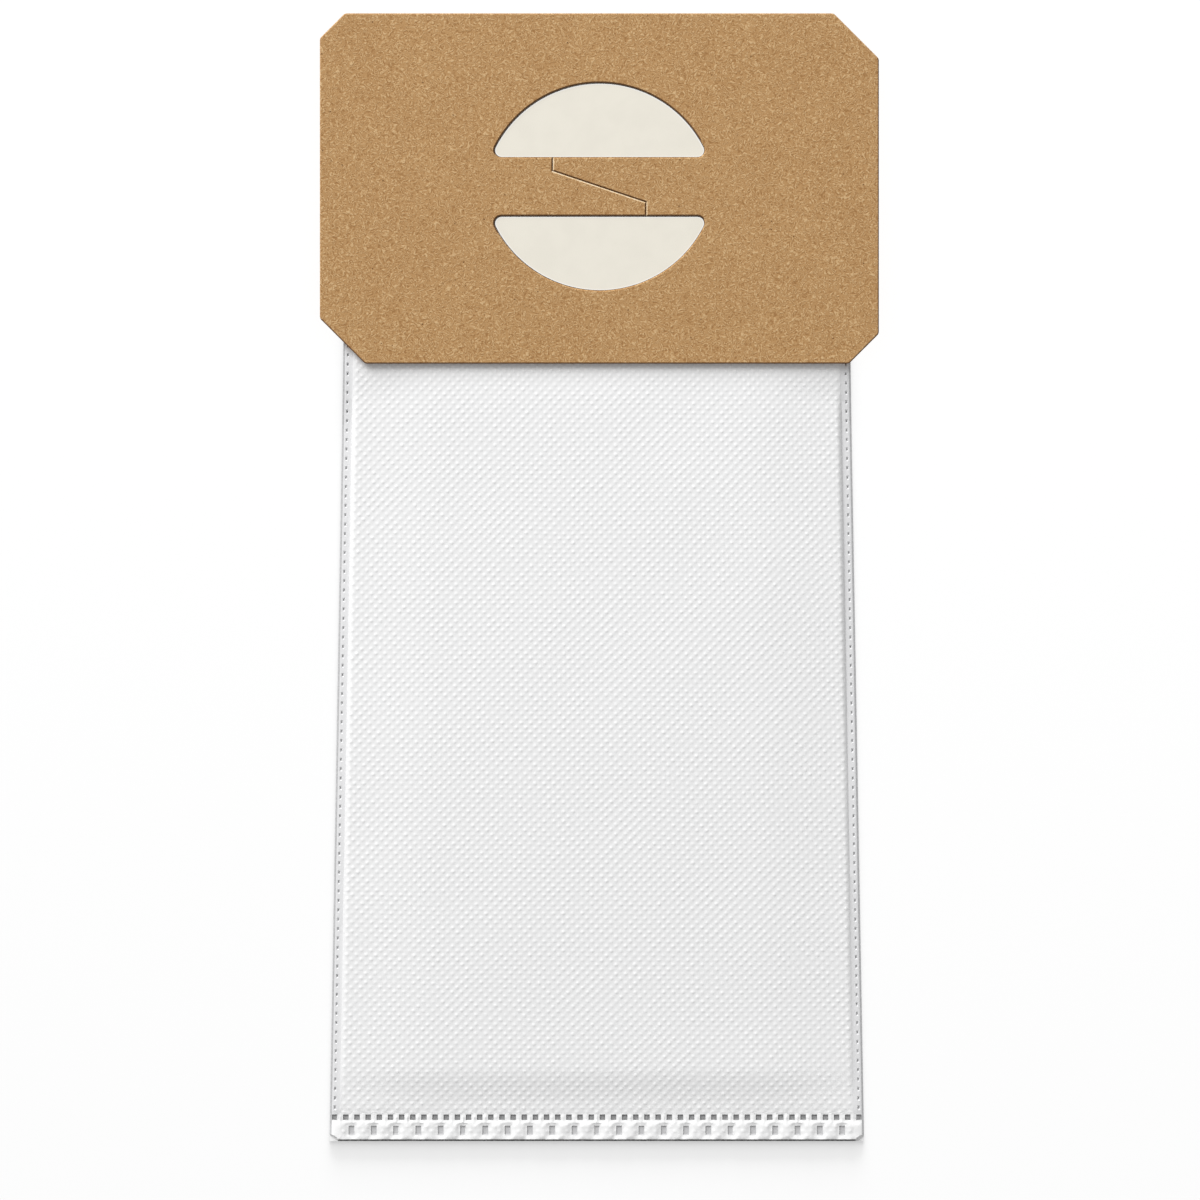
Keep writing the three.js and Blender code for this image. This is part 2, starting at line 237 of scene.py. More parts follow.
def noise(x, y, cell, seed):
    """Smooth noise from -1 to 1 with features about one cell wide, the same on every run."""
    size = 64
    values = np.random.default_rng(seed).uniform(-1, 1, (size, size))
    u, v = np.asarray(x) / cell, np.asarray(y) / cell
    i, j = np.floor(u).astype(int), np.floor(v).astype(int)
    s, t = smoothstep(u - i, 0, 1), smoothstep(v - j, 0, 1)
    near = values[i % size, j % size] * (1 - s) + values[(i + 1) % size, j % size] * s
    far = values[i % size, (j + 1) % size] * (1 - s) + values[(i + 1) % size, (j + 1) % size] * s
    return near * (1 - t) + far * t


def link(thing):
    """Puts an object into the scene."""
    bpy.context.scene.collection.objects.link(thing)
    return thing


def vectors(items, name):
    """One vector of each of a mesh's vertices or polygons, as the rows of an array."""
    values = np.zeros(len(items) * 3)
    items.foreach_get(name, values)
    return values.reshape(-1, 3)


def new_object(name, vertices, faces):
    """A mesh object from millimetre vertices, with its faces turned outwards."""
    mesh = bpy.data.meshes.new(name)
    mesh.from_pydata((np.asarray(vertices) * MM).tolist(), [], faces)
    shell = bmesh.new()
    shell.from_mesh(mesh)
    bmesh.ops.recalc_face_normals(shell, faces=shell.faces)
    shell.to_mesh(mesh)
    shell.free()
    return link(bpy.data.objects.new(name, mesh))


def applied(piece):
    """The piece with its curve settings or modifiers turned into a plain mesh."""
    depsgraph = bpy.context.evaluated_depsgraph_get()
    mesh = bpy.data.meshes.new_from_object(piece.evaluated_get(depsgraph))
    name = piece.name
    old = piece.data
    bpy.data.objects.remove(piece)
    (bpy.data.meshes if isinstance(old, bpy.types.Mesh) else bpy.data.curves).remove(old)
    return link(bpy.data.objects.new(name, mesh))


def cut(piece, cutter):
    """The piece with the cutter's solids taken out of it. It has to change the piece."""
    boolean = piece.modifiers.new("cut", "BOOLEAN")
    boolean.operation = "DIFFERENCE"
    boolean.solver = "MANIFOLD"
    boolean.object = cutter
    before = len(piece.data.polygons)
    made = applied(piece)
    bpy.data.meshes.remove(cutter.data)
    if len(made.data.polygons) in (0, before):
        raise RuntimeError(f"{made.name} wasn't cut")
    return made


def shade(piece, sharp_angle):
    """Smooth shading that breaks at edges sharper than the angle, in degrees."""
    piece.data.shade_smooth()
    piece.data.set_sharp_from_angle(angle=math.radians(sharp_angle))


def strip(lower, upper):
    """Triangles between two rows of vertex numbers, which may have different counts.

    Equal rows are split along the diagonal that rises to the right, as the emboss runs.
    """
    tie = 1e-9
    faces = []
    a, b = 0, 0
    while a + 1 < len(lower) or b + 1 < len(upper):
        next_a = (a + 1) / (len(lower) - 1)
        next_b = (b + 1) / (len(upper) - 1)
        if next_b <= next_a + tie and b + 1 < len(upper):
            faces.append((lower[a], upper[b + 1], upper[b]))
            b += 1
        else:
            faces.append((lower[a], lower[a + 1], upper[b]))
            a += 1
    return faces


def numbered(rows, start):
    """The vertex numbers of rows of points that are stored one after another."""
    ends = start + np.cumsum([len(row) for row in rows])
    return [list(range(end - len(row), end)) for row, end in zip(rows, ends)]


def rim(rows):
    """The numbers round a grid of rows, anticlockwise from its lower left corner."""
    right = [row[-1] for row in rows[1:-1]]
    left = [row[0] for row in rows[1:-1]]
    return rows[0] + right + rows[-1][::-1] + left[::-1]


def closed_sheet(name, rows, face_z, back_z, hollow_rows=None, hollow_z=None):
    """A closed sheet: a fine face over the rows, a wall round it and a back at one height.

    The back may have a hollow, a coarser grid of rows with heights of its own.
    """
    points = np.concatenate(rows)
    face = numbered(rows, 0)
    edge = rim(face)
    count = len(points)
    back_edge = list(range(count, count + len(edge)))
    vertices = [np.column_stack([points, face_z(points[:, 0], points[:, 1])])]
    vertices.append(np.column_stack([points[edge], np.full(len(edge), back_z)]))
    faces = [f for lower, upper in zip(face, face[1:]) for f in strip(lower, upper)]
    for i, here in enumerate(edge):
        following = (i + 1) % len(edge)
        faces.append((here, back_edge[i], back_edge[following], edge[following]))
    loops = [back_edge]
    if hollow_rows:
        hollow_points = np.concatenate(hollow_rows)
        hollow = numbered(hollow_rows, count + len(edge))
        heights = hollow_z(hollow_points[:, 0], hollow_points[:, 1])
        vertices.append(np.column_stack([hollow_points, heights]))
        faces += [f for lower, upper in zip(hollow, hollow[1:]) for f in strip(lower, upper)]
        loops.append(rim(hollow))
    vertices = np.concatenate(vertices)
    flat = [index for loop in loops for index in loop]
    for a, b, c in tessellate_polygon([[(*vertices[i][:2], 0) for i in loop] for loop in loops]):
        faces.append((flat[a], flat[b], flat[c]))
    return new_object(name, vertices, faces)


class Shell:
    """The vertices and faces of one closed body, put together from rings of points."""

    def __init__(self):
        self.vertices = []
        self.faces = []

    def ring(self, points, z):
        """Adds a ring at one height, and gives its vertex numbers."""
        start = len(self.vertices)
        self.vertices += [(x, y, z) for x, y in points]
        return list(range(start, len(self.vertices)))

    def band(self, first, second):
        """Faces between two rings with the same number of points."""
        for i in range(len(first)):
            self.faces.append((first[i - 1], first[i], second[i], second[i - 1]))

    def fill(self, loops):
        """Faces over the area inside the first loop and outside the others."""
        flat = [index for loop in loops for index in loop]
        outlines = [[(*self.vertices[index][:2], 0) for index in loop] for loop in loops]
        self.faces += [tuple(flat[i] for i in corners) for corners in tessellate_polygon(outlines)]


def prisms(name, solids):
    """One object of upright prisms, each given as its lower and upper ring and their heights."""
    vertices, faces = [], []
    for lower, upper, low, high in solids:
        start, sides = len(vertices), len(lower)
        vertices += [(x, y, low) for x, y in lower] + [(x, y, high) for x, y in upper]
        faces.append(tuple(range(start, start + sides))[::-1])
        faces.append(tuple(range(start + sides, start + 2 * sides)))
        for i in range(sides):
            j = (i + 1) % sides
            faces.append((start + i, start + j, start + sides + j, start + sides + i))
    return new_object(name, vertices, faces)


def arc(x, y, radius, start, end, steps):
    """Points round a circle, from one angle to another."""
    angles = np.linspace(start, end, steps + 1)
    return [(x + radius * math.cos(a), y + radius * math.sin(a)) for a in angles]


def rectangle(x, y, width, height):
    w, h = width / 2, height / 2
    return [(x - w, y - h), (x + w, y - h), (x + w, y + h), (x - w, y + h)]


# Materials


# Settings of the nodes that the materials use most
COLOURS = {"data_type": "RGBA"}
SMOOTH = {"interpolation_type": "SMOOTHSTEP"}
ADD = {"operation": "ADD"}
SUBTRACT = {"operation": "SUBTRACT"}
MULTIPLY = {"operation": "MULTIPLY"}
POWER = {"operation": "POWER"}
MAXIMUM = {"operation": "MAXIMUM"}
SINE = {"operation": "SINE"}
COSINE = {"operation": "COSINE"}
ABSOLUTE = {"operation": "ABSOLUTE"}


def add_node(tree, kind, settings, inputs, output=0):
    """Adds a shader node with its settings and links, and gives one of its outputs.

    Inputs is a list in the sockets' order, or a dict by their names or numbers. A socket in it
    is linked, and any other value is set.
    """
    node = tree.nodes.new("ShaderNode" + kind)
    for name, value in settings.items():
        setattr(node, name, value)
    for key, value in inputs.items() if isinstance(inputs, dict) else enumerate(inputs):
        if isinstance(value, bpy.types.NodeSocket):
            tree.links.new(value, node.inputs[key])
        else:
            node.inputs[key].default_value = value
    return node.outputs[output] if len(node.outputs) else None


def new_material(name):
    """An empty material, and add_node for its tree."""
    material = bpy.data.materials.new(name)
    material.use_nodes = True
    material.node_tree.nodes.clear()
    return material, partial(add_node, material.node_tree)


def rgba(values, share=1.0):
    """A colour as a socket takes it, dimmed to a share of its light."""
    return (*(value * share for value in values), 1.0)


def per(millimetres):
    """The scale of a pattern whose features are about so many millimetres across."""
    return 1 / (millimetres * MM)


def kraft_fibres(add, place, bend, spacing, gap, offset):
    """Short curly lines side by side, as a wave over a noise: 1 on pale fibres, -1 on dark ones.

    The offset shifts them, so that two sets of fibres don't match.
    """
    place = add("VectorMath", ADD, [place, (offset, offset, 0)])
    curl = {"Vector": place, "Scale": per(bend), "Detail": 1, "Roughness": 0.4, "Distortion": 0.5}
    steepness = 12  # so that the wave's crests lie about a spacing apart
    angle = add("Math", MULTIPLY, [add("TexNoise", {}, curl), steepness * bend / spacing])
    wave = add("Math", SINE, [angle])
    breaks = add("TexNoise", {}, {"Vector": place, "Scale": per(gap), "Detail": 1, "Roughness": 0.6})
    return add("Math", MULTIPLY, [wave, add("MapRange", SMOOTH, [breaks, 0.42, 0.56, 0, 1])])


def unbleached_kraft_board(colours):
    """Unbleached kraft liner, calendered: matte brown with curly pale and dark wood fibres.

    The fibres catch the eye as short hairs a few millimetres long, and a few bark flecks as specks.
    Single wood fibres are too fine to show, so the hairs are drawn about half a millimetre apart.
    """
    material, add = new_material("unbleached_kraft_board")
    dark = rgba(colours.kraft_dark)
    place = add("TexCoord", {}, [], "Object")
    clouds = add("TexNoise", {}, {"Vector": place, "Scale": per(12), "Detail": 3, "Roughness": 0.6})
    cloudy = add("MapRange", SMOOTH, [clouds, 0.3, 0.7, 0, 0.12])
    base = add("Mix", COLOURS, {0: cloudy, 6: rgba(colours.kraft), 7: dark}, 2)
    grain = add("TexNoise", {}, {"Vector": place, "Scale": per(0.45), "Detail": 2, "Roughness": 0.7})
    grain = add("Math", MULTIPLY, [add("MapRange", SMOOTH, [grain, 0.3, 0.7, -0.5, 0.5]), 0.45])
    long_hairs = kraft_fibres(add, place, bend=2.8, spacing=0.64, gap=1.1, offset=0.31)
    short_hairs = kraft_fibres(add, place, bend=1.9, spacing=0.54, gap=0.8, offset=1.13)
    hairs = add("Math", ADD, [add("Math", ADD, [long_hairs, short_hairs]), grain])
    pale = add("MapRange", SMOOTH, [hairs, 0.1, 1.3, 0, 0.7])
    base = add("Mix", COLOURS, {0: pale, 6: base, 7: rgba(colours.kraft_light)}, 2)
    darker = add("MapRange", SMOOTH, [hairs, -1.3, -0.1, 0.68, 0])
    base = add("Mix", COLOURS, {0: darker, 6: base, 7: dark}, 2)
    cells = add("TexVoronoi", {}, {"Vector": place, "Scale": per(3.2), "Randomness": 1}).node.outputs
    rare = add("MapRange", SMOOTH, [add("SeparateColor", {}, [cells["Color"]]), 0.7, 0.72, 0, 1])
    spot = add("MapRange", SMOOTH, [cells["Distance"], 0.05, 0.1, 1, 0])
    flecks = add("Math", MULTIPLY, [spot, rare])
    base = add("Mix", COLOURS, {0: flecks, 6: base, 7: rgba(colours.kraft_dark, 0.6)}, 2)
    bump = add("Bump", {}, {"Height": hairs, "Strength": 0.6, "Distance": 0.04 * MM})
    shader = add("BsdfPrincipled", {}, {"Base Color": base, "Roughness": 0.78, "IOR": 1.5, "Normal": bump})
    add("OutputMaterial", {}, [shader])
    return material


def cut_edge_and_bevel_shade(colours):
    """The board's core where the die cut through it: darker, rougher and torn along its layers. It is also
    painted shade on the bevels that face away from the upper left.

    The torn fibres are too fine to show, so they are drawn at half a millimetre.
    """
    material, add = new_material("cut_edge_and_bevel_shade")
    place = add("TexCoord", {}, [], "Object")
    layers = add("TexNoise", {}, {"Vector": place, "Scale": per(0.5), "Detail": 3, "Roughness": 0.7})
    tone = add("MapRange", SMOOTH, [layers, 0.3, 0.7, 0, 1])
    base = add("Mix", COLOURS, {0: tone, 6: rgba(colours.kraft_cut_and_shade), 7: rgba(colours.kraft_cut_and_shade, 0.72)}, 2)
    bump = add("Bump", {}, {"Height": tone, "Strength": 0.5, "Distance": 0.06 * MM})
    shader = add("BsdfPrincipled", {}, {"Base Color": base, "Roughness": 0.9, "IOR": 1.5, "Normal": bump})
    add("OutputMaterial", {}, [shader])
    return material


def painted_highlight_lip(colours):
    """A thin pale line of painted highlight on the slit's bevels that face the upper left."""
    material, add = new_material("painted_highlight_lip")
    place = add("TexCoord", {}, [], "Object")
    fibres = add("TexNoise", {}, {"Vector": place, "Scale": per(0.8), "Detail": 2, "Roughness": 0.6})
    tone = add("MapRange", SMOOTH, [fibres, 0.3, 0.7, 0, 1])
    base = add("Mix", COLOURS, {0: tone, 6: rgba(colours.kraft_highlight), 7: rgba(colours.kraft_light)}, 2)
    shader = add("BsdfPrincipled", {}, {"Base Color": base, "Roughness": 0.85, "IOR": 1.5})
    add("OutputMaterial", {}, [shader])
    return material


def calendered_elastomer_sheet(colours):
    """Cream thermoplastic elastomer, calendered smooth: a soft satin with a barely uneven skin.

    A painted highlight whitens its rims, where the attribute that marks them is 1.
    """
    material, add = new_material("calendered_elastomer_sheet")
    place = add("TexCoord", {}, [], "Object")
    uneven = add("TexNoise", {}, {"Vector": place, "Scale": per(7), "Detail": 2, "Roughness": 0.5})
    tone = add("MapRange", SMOOTH, [uneven, 0.35, 0.7, 0, 1])
    base = add("Mix", COLOURS, {0: tone, 6: rgba(colours.seal), 7: rgba(colours.seal, 0.975)}, 2)
    stretched = add("Attribute", {"attribute_name": "stretched"}, [], "Fac")
    base = add("Mix", COLOURS, {0: stretched, 6: base, 7: rgba(colours.seal_highlight)}, 2)
    bump = add("Bump", {}, {"Height": uneven, "Strength": 0.25, "Distance": 0.1 * MM})
    shader = add("BsdfPrincipled", {}, {"Base Color": base, "Roughness": 0.48, "IOR": 1.5, "Normal": bump})
    add("OutputMaterial", {}, [shader])
    return material


def embossed_polypropylene_nonwoven(colours):
    """Spunbond polypropylene, heat embossed: lofty, matte white, with a fine tangle of fibres.

    The lattice attribute holds the embossing roll's two crossed waves and how lofty the web is.
    A bead stands where both waves peak, and in patches the beads run together into ridges. The
    web between them is bonded and a little greyer, and this grey is also painted shade in the
    valleys between the beads.
    The flat margins, where the pressed attribute is 1, are greyer and smoother. The real fibres
    are too fine to show, so the tangle is drawn at 0.35 mm.
    """
    material, add = new_material("embossed_polypropylene_nonwoven")
    place = add("TexCoord", {}, [], "Object")
    loops = {"Vector": place, "Scale": per(0.35), "Detail": 4, "Roughness": 0.65, "Distortion": 0.6}
    tangle = add("TexNoise", {}, loops)
    tuft = add("TexNoise", {}, {"Vector": place, "Scale": per(1.1), "Detail": 2, "Roughness": 0.6})
    patches = add("TexNoise", {}, {"Vector": place, "Scale": per(40), "Detail": 1, "Roughness": 0.5})
    uneven = add("TexNoise", {}, {"Vector": place, "Scale": per(4.5), "Detail": 3, "Roughness": 0.6})
    lattice = add("Attribute", {"attribute_name": "lattice"}, [], "Vector")
    falling, rising, lofty = add("SeparateXYZ", {}, [lattice]).node.outputs
    ridge = add("Math", ABSOLUTE, [add("Math", COSINE, [falling])])
    gaps = add("Math", ABSOLUTE, [add("Math", COSINE, [rising])])
    gaps = add("Math", MAXIMUM, [gaps, add("MapRange", SMOOTH, [patches, 0.4, 0.65, 0, 0.6])])
    bead = add("Math", POWER, [add("Math", MULTIPLY, [ridge, gaps]), 2.6])
    bead = add("Math", MULTIPLY, [bead, add("MapRange", SMOOTH, [uneven, 0.3, 0.7, 0.45, 1])])
    bead = add("Math", MULTIPLY, [bead, lofty])
    pressed = add("Attribute", {"attribute_name": "pressed"}, [], "Fac")
    base = add("Mix", COLOURS, {0: pressed, 6: rgba(colours.nonwoven), 7: rgba(colours.pressed)}, 2)
    thin = add("MapRange", SMOOTH, [tangle, 0.35, 0.65, 0.05, 0])
    # Greyer between the beads: bonded web, and painted shade in the valleys
    bonded_and_valley_shade = add("Math", MULTIPLY, [add("Math", SUBTRACT, [lofty, bead]), 0.25])
    greyer = add("Math", ADD, [thin, bonded_and_valley_shade])
    base = add("Mix", COLOURS, {0: greyer, 6: base, 7: rgba(colours.fused_pale_and_valley_shade)}, 2)
    fibrous = add("Math", ADD, [add("Math", MULTIPLY, [tangle, 0.2]), add("Math", MULTIPLY, [tuft, 0.22])])
    relief = add("Math", ADD, [bead, fibrous])
    bump = add("Bump", {}, {"Height": relief, "Strength": 1, "Distance": 0.15 * MM})
    finish = {"Base Color": base, "Roughness": 0.88, "IOR": 1.5, "Normal": bump, "Sheen Weight": 0.08}
    shader = add("BsdfPrincipled", {}, finish)
    add("OutputMaterial", {}, [shader])
    return material


def fused_polypropylene(colours):
    """Nonwoven melted to a film by the welding tool: grey, half clear and slightly glossy.

    The fused attribute is 1 in the rims round the squares' and pins' floors, as painted shade on
    the pits' walls over the melt, and along the trimmed bottom edge, as painted shade under the
    edge over the fused film. It is lower on the floors and in the bars, which melt less, and the
    bars' walls get a little painted shade.
    """
    material, add = new_material("fused_polypropylene")
    place = add("TexCoord", {}, [], "Object")
    fused = add("Attribute", {"attribute_name": "fused"}, [], "Fac")
    base = add("Mix", COLOURS, {0: fused, 6: rgba(colours.fused_pale_and_valley_shade), 7: rgba(colours.fused_dark_and_shade)}, 2)
    melt = add("TexNoise", {}, {"Vector": place, "Scale": per(0.6), "Detail": 2, "Roughness": 0.6})
    whiter = add("MapRange", SMOOTH, [melt, 0.4, 0.65, 0, 0.25])
    base = add("Mix", COLOURS, {0: whiter, 6: base, 7: rgba(colours.pressed)}, 2)
    bump = add("Bump", {}, {"Height": melt, "Strength": 0.5, "Distance": 0.1 * MM})
    shader = add("BsdfPrincipled", {}, {"Base Color": base, "Roughness": 0.42, "IOR": 1.5, "Normal": bump})
    add("OutputMaterial", {}, [shader])
    return material


def backlit_opal_acrylic(colours):
    """Opal acrylic lit from below: matte and evenly white, so shadows on it stay faint."""
    material, add = new_material("backlit_opal_acrylic")
    sheet = {"Base Color": rgba(colours.floor, 0.2), "Roughness": 0.9, "IOR": 1.5}
    glow = {"Emission Color": rgba(colours.floor), "Emission Strength": 0.53}
    shader = add("BsdfPrincipled", {}, {**sheet, "Specular IOR Level": 0.1, **glow})
    add("OutputMaterial", {}, [shader])
    return material


# Panels

LAND_MARGIN = 3  # flat nonwoven left in front of the collar's lower edge
OVERCUT = 0.4  # how far a welding tool stands proud of what it presses
PIN_FLOOR = 0.45  # size of a pin's floor over its mouth's
STRIP_TAPER = 0.55  # how much smaller a tool of the strip is at its floor
MARK_REACH = (6, 8)  # across and along: past this a weld mark doesn't shape the web
LEAST_STEP = 0.03  # what is less far from a flat surface counts as lying on it
FAR = 100  # more than any distance to a weld that matters
TRIM_DROP = 0.3  # how far the front panel's trimmed edge is pressed down


def half_width(y, sizes):
    """Half the bag's width at a height, from its straight tapering sides."""
    share = (y - BAG_BOTTOM) / (BAG_TOP - BAG_BOTTOM)
    bottom = back_high[0] - back_low[0]
    return (bottom + (sizes.top_width - bottom) * share) / 2


def from_side(x, y, sizes):
    """Distance in from the nearer side edge."""
    return half_width(y, sizes) - np.abs(x - BAG_MID_X)


def from_end(y):
    """Distance in from the nearer end of the bag."""
    return np.minimum(y - BAG_BOTTOM, BAG_TOP - y)


def rounded_step(inset, run):
    """Rises from 0 to 1 over a run, steeply at first, as a quarter of a sine."""
    return np.sin(np.clip(inset / run, 0, 1) * math.pi / 2)


def rise(x, y, sizes):
    """0 in the flat welded margins, 1 where a panel stands at its full height."""
    side = rounded_step(from_side(x, y, sizes) - sizes.side_margin, sizes.shoulder)
    top = rounded_step(BAG_TOP - y - sizes.end_margin, sizes.shoulder)
    bottom_start = BAG_BOTTOM + sizes.end_margin
    return side * top * smoothstep(y, bottom_start, bottom_start + sizes.bottom_shoulder)


def slack(x, y, sizes):
    """Extra height of the front panel below the collar: crowned in the middle, less at the bottom."""
    along = np.clip((y - BAG_BOTTOM) / (collar_low[1] - LAND_MARGIN - BAG_BOTTOM), 0, 1)
    across = (x - BAG_MID_X) / half_width(y, sizes)
    crown = sizes.crown * np.sin(math.pi * along) * (1 - across**2)
    return crown - sizes.fall * (1 - smoothstep(along, 0, 1))


def weld_marks(sizes, welds):
    """The centres of the pins, squares and bars, as three lists of (x, y)."""
    pins, squares, bars = [], [], []
    span = BAG_TOP - BAG_BOTTOM - 2 * sizes.end_margin - welds.pin_pitch
    count = math.floor(span / welds.pin_pitch)
    for i in range(count + 1):
        y = BAG_TOP - sizes.end_margin - welds.pin_pitch / 2 - span * i / count
        reach = half_width(y, sizes) - sizes.side_margin / 2
        pins += [(BAG_MID_X - reach, y), (BAG_MID_X + reach, y)]
    for end, inward in ((BAG_BOTTOM, 1), (BAG_TOP, -1)):
        y = end + inward * welds.square_inset
        count = math.floor(2 * (half_width(y, sizes) - welds.edge) / welds.square_pitch) + 1
        columns = (np.arange(count) - (count - 1) / 2) * welds.square_pitch + BAG_MID_X
        squares += [(x, y) for x in columns]
        between = columns[1:-2:2] + welds.square_pitch / 2
        bars += [(x, end + inward * welds.bar_inset) for x in between]
    return pins, squares, bars


def distance_to_marks(x, y, marks, width, height):
    """Distance from each point to the nearest rectangular mark within reach."""
    nearest = np.full(len(x), float(FAR))
    for mark_x, mark_y in marks:
        near = (np.abs(x - mark_x) < MARK_REACH[0]) & (np.abs(y - mark_y) < MARK_REACH[1])
        across = np.maximum(np.abs(x[near] - mark_x) - width / 2, 0)
        along = np.maximum(np.abs(y[near] - mark_y) - height / 2, 0)
        nearest[near] = np.minimum(nearest[near], np.hypot(across, along))
    return nearest


def distance_to_strip_welds(x, y, sizes, welds):
    """Distance from each point to the nearest square or bar."""
    _, squares, bars = weld_marks(sizes, welds)
    return np.minimum(
        distance_to_marks(x, y, squares, welds.square_size, welds.square_size),
        distance_to_marks(x, y, bars, welds.bar_width, welds.bar_length),
    )


def bulge(near_marks):
    """How far the web has swollen at a distance from the welds that hold it, from 0 to 1."""
    run = 1.1
    return 1 - np.exp(-((near_marks / run) ** 2))


def lattice(x, y, sizes, samples):
    """The embossing roll's two crossed waves, as angles. Beads stand where both cosines peak.

    Samples is how many grid columns there are to a pitch, so that the beads fall on the grid.
    """
    inner = half_width(y, sizes) - sizes.side_margin - sizes.shoulder
    across = (x - BAG_MID_X) / inner * columns_across(sizes, samples) / samples / 2
    along = (y - BAG_BOTTOM - sizes.end_margin) / sizes.emboss_pitch
    wander = 0.1  # of a pitch
    falling = across - along + wander * noise(x, y, cell=13, seed=7)
    rising = across + along + wander * noise(x, y, cell=17, seed=8)
    return math.pi * falling, math.pi * rising


def emboss(x, y, sizes, samples):
    """The height of the embossed lattice, uneven in patches as the web's thickness varies."""
    falling, rising = lattice(x, y, sizes, samples)
    beads = (np.cos(falling) * np.cos(rising)) ** 2
    patch = 0.9 + 0.3 * noise(x, y, cell=11, seed=3) + 0.25 * noise(x, y, cell=3.1, seed=4)
    grain = 0.2 * noise(x, y, cell=1.3, seed=5)
    mean_bead = 0.25
    return sizes.emboss_height * (patch * (beads - mean_bead) + grain)


def columns_across(sizes, samples):
    """Grid columns over the embossed width, a whole number to each pitch at mid height."""
    middle = half_width((BAG_TOP + BAG_BOTTOM) / 2, sizes) - sizes.side_margin - sizes.shoulder
    return 2 * round(middle / sizes.emboss_pitch) * samples


def panel_row(y, sizes, columns):
    """Grid points across the bag: the margins and shoulders, then even columns between them."""
    half = half_width(y, sizes)
    start = sizes.side_margin
    up_shoulder = start + sizes.shoulder * np.array([0.12, 0.32, 0.6])
    insets = [0, sizes.trim, start / 2, start, *up_shoulder]
    inner = half - start - sizes.shoulder
    offsets = np.concatenate([np.array(insets) - half, np.linspace(-inner, inner, columns + 1)])
    offsets = np.concatenate([offsets, half - np.array(insets[::-1])])
    return np.column_stack([offsets + BAG_MID_X, np.full(len(offsets), y)])


def end_rows(end, inward, sizes, columns):
    """Fine rows over a welded strip, from the bag's end inwards."""
    step = 0.37
    insets = np.concatenate([[0], np.arange(sizes.trim, sizes.end_margin - 0.1, step)])
    return [panel_row(end + inward * inset, sizes, columns) for inset in insets]


def margin_lift(y, sizes, side):
    """How far the front panel's margins stand up beside the collar, and 0 for the back panel."""
    first, full = -22, 2  # heights over the collar's lower edge
    return sizes.held_up * smoothstep(y - collar_low[1], first, full) * (side > 0)


def weld_tools(marks, width, height, depth, overcut, floor_share, surface, side):
    """Tapered solids that reach depth below a margin's surface and stand overcut proud of it."""
    mouth = 1 + (1 - floor_share) * overcut / depth
    solids = []
    for x, y in marks:
        floor_ring = rectangle(x, y, width * floor_share, height * floor_share)
        mouth_ring = rectangle(x, y, width * mouth, height * mouth)
        solids.append((floor_ring, mouth_ring, surface(y) - side * depth, surface(y) + side * overcut))
    return solids


def press_welds(piece, sizes, welds, depth, surface, side):
    """Cuts the weld marks into a panel's margins. Side is 1 for the front and -1 for the back."""

    def flat(y):
        return surface

    def lifted(y):
        return surface + margin_lift(y, sizes, side)

    pins, squares, bars = weld_marks(sizes, welds)
    strip_floor = 1 - STRIP_TAPER * (depth / (sizes.puff + depth))
    in_margin = (depth, OVERCUT, PIN_FLOOR, lifted, side)
    in_strip = (depth, sizes.puff + OVERCUT, strip_floor, flat, side)
    solids = weld_tools(pins, welds.pin_width, welds.pin_length, *in_margin)
    solids += weld_tools(squares, welds.square_size, welds.square_size, *in_strip)
    solids += weld_tools(bars, welds.bar_width, welds.bar_length, *in_strip)
    return cut(piece, prisms("weld_tools", solids))


def set_attribute(piece, name, values):
    piece.data.attributes.new(name, "FLOAT", "POINT").data.foreach_set("value", values.astype(np.float32))


def set_panel_attributes(piece, sizes, welds, side, samples):
    """What the two nonwoven finishes read: where the web is pressed, fused and embossed."""
    x, y, z = vectors(piece.data.vertices, "co").T / MM
    inset, strip_inset, height = from_side(x, y, sizes), from_end(y), side * (z - WELD_PLANE)
    margin = 1 - smoothstep(inset, sizes.side_margin - 0.2, sizes.side_margin + 0.9)
    past_strip = smoothstep(strip_inset, welds.square_inset - 1, welds.square_inset)
    set_attribute(piece, "pressed", margin * past_strip)
    past_bars = smoothstep(strip_inset, welds.bar_inset + 1.8, welds.bar_inset + 2)
    # Painted shade: the upper parts of the pits' walls are darker
    wall_shade_share = smoothstep(height, 0.25, 0.4)
    # The trimmed bottom edge is fused film, drawn dark as painted shade under the edge
    bottom_edge_shade = 1 - smoothstep(y - BAG_BOTTOM, sizes.trim, sizes.trim + 0.1)
    bottom_edge_shade *= smoothstep(height, 0.05, 0.25)
    side_edge = 1 - smoothstep(inset, sizes.trim, sizes.trim + 0.1)
    bar_wall_shade, floor, rim = 0.3, 0.55, 0.15  # darkness of the painted shade on a bar's walls, of the melt on the other floors, and of the extra painted shade on the other walls; a bar has only the first
    fused = (bar_wall_shade * wall_shade_share + past_bars * (floor + rim * wall_shade_share)) * (1 - 0.8 * side_edge)
    set_attribute(piece, "fused", np.maximum(fused, bottom_edge_shade))
    lofty = smoothstep(inset, sizes.side_margin, sizes.side_margin + 0.6)
    lofty *= 0.7 + 0.3 * smoothstep(strip_inset, sizes.end_margin - 1, sizes.end_margin + 2)
    waves = np.column_stack([*lattice(x, y, sizes, samples), lofty]).astype(np.float32)
    attribute = piece.data.attributes.new("lattice", "FLOAT_VECTOR", "POINT")
    attribute.data.foreach_set("vector", waves.ravel())


